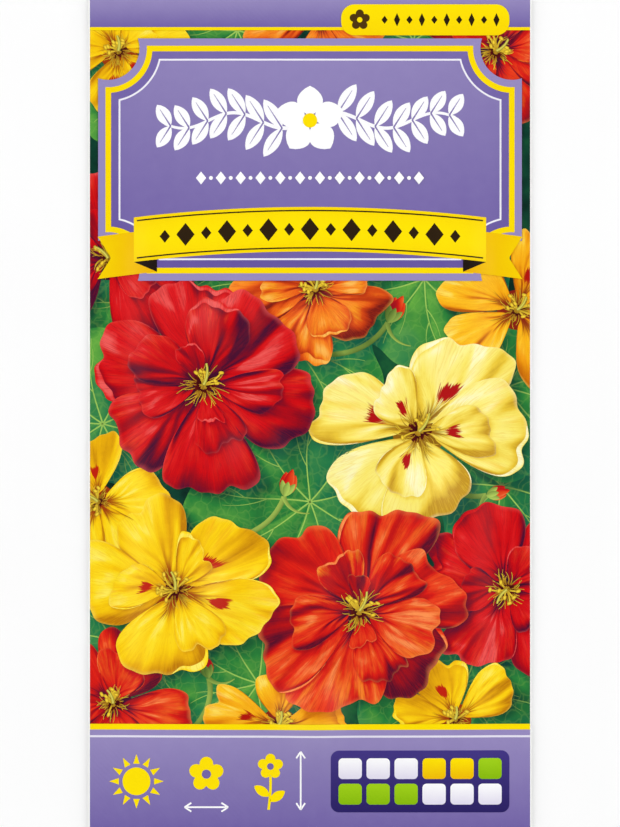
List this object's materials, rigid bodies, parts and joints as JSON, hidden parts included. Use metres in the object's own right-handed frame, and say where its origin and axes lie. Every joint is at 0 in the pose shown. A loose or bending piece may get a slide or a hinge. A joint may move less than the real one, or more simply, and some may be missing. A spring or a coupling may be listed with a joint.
{
  "type": "nasturtium seed packet",
  "caption": "Flat paper sachet, heat-sealed on all four sides, with a printed floral front and loose ribbed nasturtium seeds inside.",
  "frame": {"origin": "centre of the back web's outer face, on the surface the packet lies on", "axes": "+X to the right and +Y to the packet's top as the front is read, +Z out of the printed front"},
  "size_m": [0.085, 0.16, 0.0057],
  "materials": {
    "printed_paper": "full-colour floral print in red, orange, yellow, green and violet under a clear satin laminate",
    "plain_paper": "white paper with a pale violet print, satin",
    "seed_skin": "dry corky seed coat, matt, ribbed and wrinkled"
  },
  "bodies": {
    "root": {"front_web": "printed_paper", "back_web": "plain_paper", "seed_1": "seed_skin", "seed_2": "seed_skin", "seed_3": "seed_skin", "seed_4": "seed_skin", "seed_5": "seed_skin", "seed_6": "seed_skin", "seed_7": "seed_skin", "seed_8": "seed_skin"}
  },
  "joints": []
}
